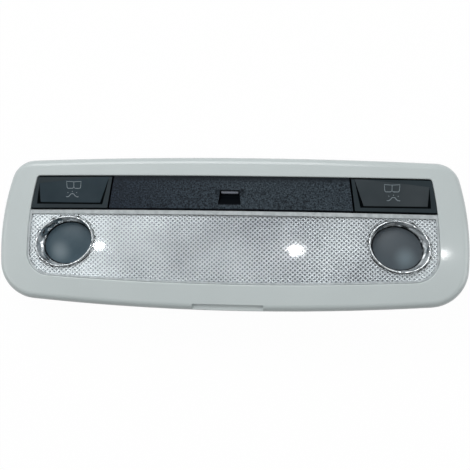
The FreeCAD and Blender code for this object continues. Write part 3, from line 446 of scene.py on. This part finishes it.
def chrome(name, foot=None):
    """Chrome over moulded plastic, with soft waves; below a height a painted dark reflection stands for what
    it mirrors.
    """
    made, tree, shader = material(name, rough=0.05, metal=1.0)
    wear = noise(tree, scale=600, detail=4)
    colour = shades(tree, wear, linear(230, 237, 241), linear(245, 250, 252))
    if foot is not None:
        place = add(tree, "TexCoord").outputs["Object"]
        colour = blend(tree, below(tree, place, "Z", foot, soft=0.5), colour, linear(48, 54, 58))
    tree.links.new(colour, shader.inputs["Base Color"])
    vary(tree, wear, shader.inputs["Roughness"], low=0.05, high=0.12)
    bump(tree, noise(tree, scale=260, detail=1), shader, strength=1.0, depth=CHROME_WAVE)
    patches = noise(tree, scale=130, detail=1)
    vary(tree, patches, shader.inputs["Metallic"], low=0.35, high=0.95, start=0.62, end=0.42)
    return made


# Clear plastic, the smoked lenses and the prisms; places again in millimetres

LENS_IOR = 1.49
CORNER_SOFT = 0.1
SMOKE_LEFT_X, SMOKE_RIGHT_X = -80, 100
SMOKE_GRAIN = 0.00003
GLOW_OUT, GLOW_DOWN, GLOW_WIDE = 3.4, 5.4, 7.5
PAN_SHADE_X, PAN_SHADE_Y, PAN_SHADE_WIDE = 32, -14, 130
PRISM_CLOUDS = 0.75


def lens_border(tree):
    """1 on the plain border of the lens round its prisms, 0 over them."""
    spot = mirrored_place(tree)
    corner = joined(tree, "MINIMUM",
                    part_way(tree, spot, "X", CORNER.x, CORNER.x + CORNER_SOFT),
                    below(tree, spot, "Y", CORNER.y - CORNER_SOFT, CORNER_SOFT),
                    beyond_arc(tree, spot, CORNER, WINDOW_CORNER - LENS_EDGE))
    edges = [beyond_arc(tree, spot, middle, radius) for middle, radius in lens_arcs(LENS_EDGE)]
    return joined(tree, "MAXIMUM", corner, *edges)


def frosted_sides(tree, body, haze):
    """The body of the lens with frosted walls and a frosted border."""
    matt = add(tree, "BsdfPrincipled", {"Roughness": 0.45, "Transmission Weight": 0.2})
    tint(tree, haze, matt.inputs["Base Color"], linear(176, 184, 187), linear(206, 213, 215))
    normal = vector_math(tree, "ABSOLUTE", add(tree, "TexCoord").outputs["Normal"])
    upright = part_of(tree, normal, "Z", start=0.6, end=0.3)
    share = joined(tree, "MAXIMUM", upright, lens_border(tree))
    return mixed(tree, share, body, matt.outputs["BSDF"])


def clear(name, colour, rough, frosted=False):
    """Clear plastic or glass with a faint haze; shadow rays pass through it."""
    made, tree, shader = material(name, colour, rough, IOR=LENS_IOR, Transmission_Weight=1.0)
    haze = noise(tree, scale=400)
    vary(tree, haze, shader.inputs["Roughness"], low=rough * 0.5, high=rough * 1.5)
    body = shader.outputs["BSDF"]
    if frosted:
        body = frosted_sides(tree, body, haze)
    open_way = add(tree, "BsdfTransparent", {"Color": (0.94, 0.95, 0.96, 1)}).outputs["BSDF"]
    in_shadow = add(tree, "LightPath").outputs["Is Shadow Ray"]
    surface(tree, mixed(tree, in_shadow, body, open_way))
    return made


def smoked(name, dark, light, grey, glow):
    """The reading lamps' smoked lenses: a painted glow makes them paler where the bowl behind them is bright;
    greyer on the right.
    """
    made, tree, shader = material(name, rough=0.45, Specular_IOR_Level=0.4)
    place = add(tree, "TexCoord").outputs["Object"]
    folded = vector_math(tree, "ABSOLUTE", place)
    away = distance(tree, folded, (LAMP_X + GLOW_OUT, GLOW_DOWN - LAMP_Y))
    near = ranged(tree, away, start=GLOW_WIDE * MM, end=0, kind="SMOOTHSTEP")
    smoke = shades(tree, noise(tree, scale=120), dark, light)
    smoke = blend(tree, part_way(tree, place, "X", SMOKE_LEFT_X, SMOKE_RIGHT_X), smoke, grey)
    tree.links.new(blend(tree, near, smoke, glow), shader.inputs["Base Color"])
    fine = noise(tree, scale=5000, detail=2)
    vary(tree, fine, shader.inputs["Roughness"], low=0.38, high=0.52)
    bump(tree, fine, shader, strength=0.2, depth=SMOKE_GRAIN)
    return made


def prism_sheet(name, dark, light, fade):
    """The silvery look of a field of prisms, with painted shade over the empty middle of the lamp's pan, where
    it is deeper in colour.
    """
    made, tree, shader = material(name, rough=0.3, metal=0.2, Specular_IOR_Level=0.6)
    place = add(tree, "TexCoord").outputs["Object"]
    away = distance(tree, place, (PAN_SHADE_X, PAN_SHADE_Y), axes=(1, 1, 1))
    far = ranged(tree, away, start=0, end=PAN_SHADE_WIDE * MM, high=fade, kind="SMOOTHSTEP")
    clouded = add(tree, "Math", {1: PRISM_CLOUDS}, operation="MULTIPLY_ADD")
    tree.links.new(noise(tree, scale=28), clouded.inputs[0])
    tree.links.new(far, clouded.inputs[2])
    tint(tree, clouded.outputs[0], shader.inputs["Base Color"], dark, light, start=0.25, end=0.95)
    vary(tree, noise(tree, scale=700, detail=2), shader.inputs["Roughness"], low=0.36, high=0.5)
    return made


def sign_ink():
    """The pale grey ink of the signs."""
    made, tree, shader = material("sign_ink", rough=0.5)
    grain = noise(tree, scale=3000, detail=2)
    tint(tree, grain, shader.inputs["Base Color"], linear(108, 120, 127), linear(138, 150, 156))
    return made


LOOKS = {
    "bezel_plastic": moulded("bezel_skin", linear(193, 202, 202), spread=0.015, rough=0.3,
                             Coat_Weight=0.35, Coat_Roughness=0.08),
    "clear_plastic": clear("lens_clear", (0.97, 0.98, 0.985), rough=0.05, frosted=True),
    "chrome_plating": chrome("ring_chrome", RING_FOOT),
    "smoked_plastic": smoked("lamp_smoked", dark=linear(54, 74, 84), light=linear(66, 84, 94),
                             grey=linear(76, 84, 90), glow=linear(108, 122, 129)),
    "reflector_coating": chrome("bowl_chrome"),
    "white_plastic": moulded("white_skin", linear(226, 227, 224), spread=0.02, rough=0.45),
    "key_plastic": key_skin("key_skin"),
    "panel_plastic": grained("panel_grain", dark=linear(3, 12, 21), dull=linear(40, 53, 67),
                             light=linear(72, 85, 94), rough=0.42),
    "black_plastic": moulded("black_skin", linear(28, 29, 31), spread=0.1, rough=0.5),
    "lamp_glass": clear("bulb_glass", (0.96, 0.97, 0.97), rough=0.02),
    "contact_brass": metal("brass_strip", linear(212, 180, 112), rough=0.28),
    "spring_steel": metal("steel_strip", linear(186, 188, 191), rough=0.3),
    "screw_steel": metal("screw_zinc", linear(190, 191, 194), rough=0.34, along="Z"),
    "board_laminate": moulded("board_mask", linear(20, 84, 52), spread=0.12, rough=0.35, Coat_Weight=0.4),
    "housing_plastic": moulded("housing_skin", linear(198, 203, 201), spread=0.02, rough=0.5),
}
GUIDE_LOOK = moulded("guide_frosted", linear(150, 156, 168), spread=0.05, rough=0.35,
                     Transmission_Weight=0.25)
for part in frame["record"]["subparts"]:
    mesh = nodes[part["node"]].data
    mesh.materials.clear()
    mesh.materials.append(GUIDE_LOOK if part["node"] == "light_guide" else LOOKS[part["material_slot"]])


def in_scene(name, data):
    """A new object in the scene."""
    made = bpy.data.objects.new(name, data)
    bpy.context.scene.collection.objects.link(made)
    return made


# The prisms under the lens: rows of diamond pits; a flat ridge takes a share of each diamond

PITCH_X = 2.4
PITCH_Y = 2.17
RIDGE = 0.42
PIT_DEPTH = 0.62
SHEET_GAP = 0.04
HALVINGS = 6


def towards(middle, corner, share):
    """The spot that is a share of the way from a middle to a corner."""
    return tuple(m + (c - m) * share for m, c in zip(middle, corner))


def held(middle, corner):
    """A diamond's corner, drawn back towards its middle as far as the border of the field."""
    if in_lens(*corner):
        return corner
    low, high = 0.0, 1.0
    for _ in range(HALVINGS):
        share = (low + high) / 2
        if in_lens(*towards(middle, corner, share)):
            low = share
        else:
            high = share
    return towards(middle, corner, low)


def diamonds():
    """Middle and corners of each diamond in the field, row by row."""
    half_x, half_y = PITCH_X / 2, PITCH_Y / 2
    columns = int(WINDOW_HALF / half_x) + 1
    rows = int(2 * WINDOW_BOTTOM / half_y)
    for row in range(-rows, rows):
        for column in range(-columns, columns + 1):
            x, y = column * half_x, row * half_y
            if (row + column) % 2 == 0 and in_lens(x, y):
                ends = ((x + half_x, y), (x, y + half_y), (x - half_x, y), (x, y - half_y))
                yield (x, y), [held((x, y), end) for end in ends]


def prism_mesh():
    """A mesh of diamond pits; each diamond shares its corners with its neighbours."""
    drop = LENS_DROP + LENS_THICK + SHEET_GAP
    spots, faces, seen = [], [], {}

    def spot(x, y, depth=0):
        """The number of a vertex at a depth below the sheet, made when it is first asked for."""
        key = (round(x, 4), round(y, 4), depth)
        if key not in seen:
            seen[key] = len(spots)
            spots.append((x * MM, y * MM, (crown(x, y, drop) - depth) * MM))
        return seen[key]

    for middle, corners in diamonds():
        outer = [spot(*corner) for corner in corners]
        inner = [spot(*towards(middle, corner, 1 - RIDGE)) for corner in corners]
        pit = spot(*middle, PIT_DEPTH)
        for i in range(4):
            after = (i + 1) % 4
            faces.append((outer[i], outer[after], inner[after], inner[i]))
            faces.append((inner[i], inner[after], pit))
    mesh = bpy.data.meshes.new("lens_prisms")
    mesh.from_pydata(spots, [], faces)
    return mesh


def prism_field():
    """The sheet of prisms, in a lit and a shaded copy of one look: the walls of the pits are painted in shade,
    darker than the ridges.
    """
    mesh = prism_mesh()
    for look in (prism_sheet("prism_ridge", linear(146, 151, 155), linear(228, 233, 234), fade=0.45),
                 prism_sheet("prism_pit", linear(38, 45, 54), linear(180, 186, 189), fade=0.54)):
        mesh.materials.append(look)
    for face in mesh.polygons:
        face.material_index = int(len(face.vertices) == 3)
    made = in_scene("lens_prisms", mesh)
    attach(made, "root")


prism_field()


# Signs on the keys: an open book over a small lamp, as thin inlaid lines

LINE = 0.34
SIGN_LIFT = 0.02
SIGN_X, SIGN_Y = 80.9, 24.3
SHADE_LEAN = 0.8

# Their right halves: a page, the lamp shade from its top and the rays from their feet, as (outward, up)
PAGE = [(0.04, 1.55), (3.8, 1.8), (3.6, -1.1), (3.35, -1.6), (2.8, -1.8), (0.8, -1.8), (0.04, -1.35)]
SHADE = [(0, -4.5), (0.7, -4.65), (1.5, -5.6), (2.2, -6.1), (3.3, -6.15)]
MIDDLE_RAY = [(0, -3.65), (0, -3.2)]
OUTER_RAY = [(2.1, -4.1), (2.5, -3.8)]


def scoop_height(y):
    """Height of a key's scooped floor."""
    return SCOOP_FLOOR + SCOOP_SLOPE * (y - SCOOP_FOOT)


def mirrored(points):
    """Points on the other side of a sign's middle, in reverse."""
    return [(-across, up) for across, up in reversed(points)]


def stroke(points, closed):
    """A flat ribbon along points, as corners and faces in the sign's own plane."""
    count = len(points)
    corners, faces = [], []
    for i, point in enumerate(points):
        before = points[i - 1] if closed or i else point
        after = points[(i + 1) % count] if closed or i < count - 1 else point
        way = (Vector(after) - Vector(before)).normalized()
        side = Vector((-way.y, way.x)) * LINE / 2
        corners += [Vector(point) + side, Vector(point) - side]
    for i in range(count if closed else count - 1):
        j = (i + 1) % count
        faces.append((2 * i, 2 * i + 1, 2 * j + 1, 2 * j))
    return corners, faces


def sign_lines(side):
    """The lines of a sign, each with whether it is closed; its lamp stands a little outward."""
    lines = [(PAGE, True), (mirrored(PAGE), True)]
    for points in (mirrored(SHADE[1:]) + SHADE, mirrored(OUTER_RAY), MIDDLE_RAY, OUTER_RAY):
        lines.append(([(across + SHADE_LEAN * side, up) for across, up in points], False))
    return lines


def reading_sign(name, side, ink):
    """The sign of a key, just above its scooped floor."""
    corners, faces = [], []
    for points, closed in sign_lines(side):
        ribbon, quads = stroke(points, closed)
        faces += [tuple(v + len(corners) for v in quad) for quad in quads]
        corners += ribbon
    spots = [(side * SIGN_X + corner.x, SIGN_Y + corner.y) for corner in corners]
    mesh = bpy.data.meshes.new(name)
    mesh.from_pydata([(x * MM, y * MM, (scoop_height(y) + SIGN_LIFT) * MM) for x, y in spots], [], faces)
    mesh.materials.append(ink)
    return in_scene(name, mesh)


INK = sign_ink()
for side_name, side_sign in SIDES:
    sign = reading_sign(f"key_sign_{side_name}", side_sign, INK)
    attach(sign, f"button_{side_name}")


# Floor and world: the camera sees both as white, and the floor still takes the unit's shadow

FLOOR_HALF = 3.0
FLOOR_GLOW = 0.975

# Brightness of the surround by the height of a direction, from the horizon at 0 to straight up at 1
SKY_STOPS = ((0.0, 0.7), (0.42, 1.0), (0.55, 0.9), (0.75, 0.3), (1.0, 0.25))
SKY_STRENGTH = 0.6


def floor_paint():
    """Paint that glows white for the camera, in mirrors and through glass, but is grey to other rays."""
    made, tree, shader = material("floor_pale", rough=0.7, Specular_IOR_Level=0.2)
    glow = add(tree, "Emission", {"Color": (1, 1, 1, 1), "Strength": 1.0})
    rays = add(tree, "LightPath").outputs
    paint = blend(tree, rays["Is Camera Ray"], linear(132, 132, 132), linear(252, 252, 252))
    tree.links.new(paint, shader.inputs["Base Color"])
    seen = joined(tree, "MAXIMUM", rays["Is Camera Ray"], rays["Is Glossy Ray"], rays["Is Transmission Ray"])
    share = number_math(tree, "MULTIPLY", seen, FLOOR_GLOW)
    surface(tree, mixed(tree, share, shader.outputs["BSDF"], glow.outputs["Emission"]))
    return made


def plain_floor():
    """A wide floor that touches the underside of the unit."""
    corners = ((-1, -1), (1, -1), (1, 1), (-1, 1))
    spots = [(x * FLOOR_HALF, y * FLOOR_HALF, cad_box[0].z) for x, y in corners]
    mesh = bpy.data.meshes.new("floor")
    mesh.from_pydata(spots, [], [(0, 1, 2, 3)])
    mesh.materials.append(floor_paint())
    floor = in_scene("floor", mesh)


def surround(tree):
    """The colour of the surround: bright walls, dimmer towards -Y, and a dark ceiling."""
    split = add(tree, "SeparateXYZ")
    tree.links.new(add(tree, "TexCoord").outputs["Generated"], split.inputs["Vector"])
    ramp = add(tree, "ValToRGB")
    stops = ramp.color_ramp.elements
    for position, level in SKY_STOPS:
        stops.new(position).color = (level, level * 1.01, level * 1.02, 1)
    stops.remove(stops[0])
    stops.remove(stops[-1])
    tree.links.new(split.outputs["Z"], ramp.inputs["Fac"])
    fall = ranged(tree, split.outputs["Y"], start=-0.8, end=0.3, low=0.2)
    dimmed = add(tree, "VectorMath", operation="SCALE")
    tree.links.new(ramp.outputs["Color"], dimmed.inputs[0])
    tree.links.new(fall, dimmed.inputs["Scale"])
    return dimmed.outputs["Vector"]


def sky():
    """The studio round the unit; the camera sees white."""
    world = bpy.data.worlds.new("studio")
    bpy.context.scene.world = world
    world.use_nodes = True
    tree = world.node_tree
    lit = tree.nodes["Background"]
    lit.inputs["Strength"].default_value = SKY_STRENGTH
    tree.links.new(surround(tree), lit.inputs["Color"])
    seen = add(tree, "Background", {"Color": (1, 1, 1, 1), "Strength": 1.0})
    to_camera = add(tree, "LightPath").outputs["Is Camera Ray"]
    both = mixed(tree, to_camera, lit.outputs["Background"], seen.outputs["Background"])
    surface(tree, both, "World Output")


plain_floor()
sky()


# The camera as it stood for the photo: its focal length in pixels, its distance and shift in metres, its turn

FRAME_PIXELS = 470
FOCAL_PIXELS = 724.5
SENSOR = 36
DISTANCE = 0.371
AIM_ASIDE = -0.0026
PITCH, YAW, ROLL = math.radians(-3), math.radians(-4.874), math.radians(-1.203)
NEAREST, FARTHEST = 0.01, 10


def photo_camera():
    """Places the camera; returns where it stands."""
    turn = Matrix.Rotation(ROLL, 3, "Z") @ Matrix.Rotation(PITCH, 3, "X") @ Matrix.Rotation(YAW, 3, "Y")
    place = -(turn.transposed() @ Vector((AIM_ASIDE, 0, -DISTANCE)))
    view = bpy.data.cameras.new("camera")
    view.sensor_width = SENSOR
    view.lens = FOCAL_PIXELS / FRAME_PIXELS * SENSOR
    view.clip_start, view.clip_end = NEAREST, FARTHEST
    camera = in_scene("camera", view)
    camera.matrix_world = Matrix.Translation(place) @ turn.transposed().to_4x4()
    bpy.context.scene.camera = camera
    return place


def lamp(name, spot, size, power, shape="RECTANGLE"):
    """A flat lamp at a spot, turned towards the middle of the unit; in metres and watts."""
    data = bpy.data.lights.new(name, "AREA")
    data.shape = shape
    data.size, data.size_y = size
    data.energy = power
    made = in_scene(name, data)
    made.location = spot
    made.rotation_mode = "QUATERNION"
    made.rotation_quaternion = (-Vector(spot)).to_track_quat("-Z", "Y")


# Studio lamps stand round the unit; the flash and its two echoes stand beside the camera
eye = photo_camera()
lamp("key_light", (-0.25, 0.75, 0.95), size=(0.9, 0.6), power=7.2)
lamp("fill_left", (-0.85, -0.1, 0.72), size=(0.5, 0.7), power=2.2)
lamp("fill_right", (0.95, -0.1, 0.48), size=(0.5, 0.7), power=2.3)
FLASH = (0.015, 0.0095)
lamp("flash", eye + Vector((0.004, 0.012, 0.02)), FLASH, power=0.05, shape="ELLIPSE")
lamp("flash_left", eye + Vector((-0.211, 0.015, 0)), FLASH, power=0.03, shape="ELLIPSE")
lamp("flash_right", eye + Vector((0.16, 0.012, 0)), FLASH, power=0.03, shape="ELLIPSE")

bpy.context.scene.view_settings.view_transform = "Standard"
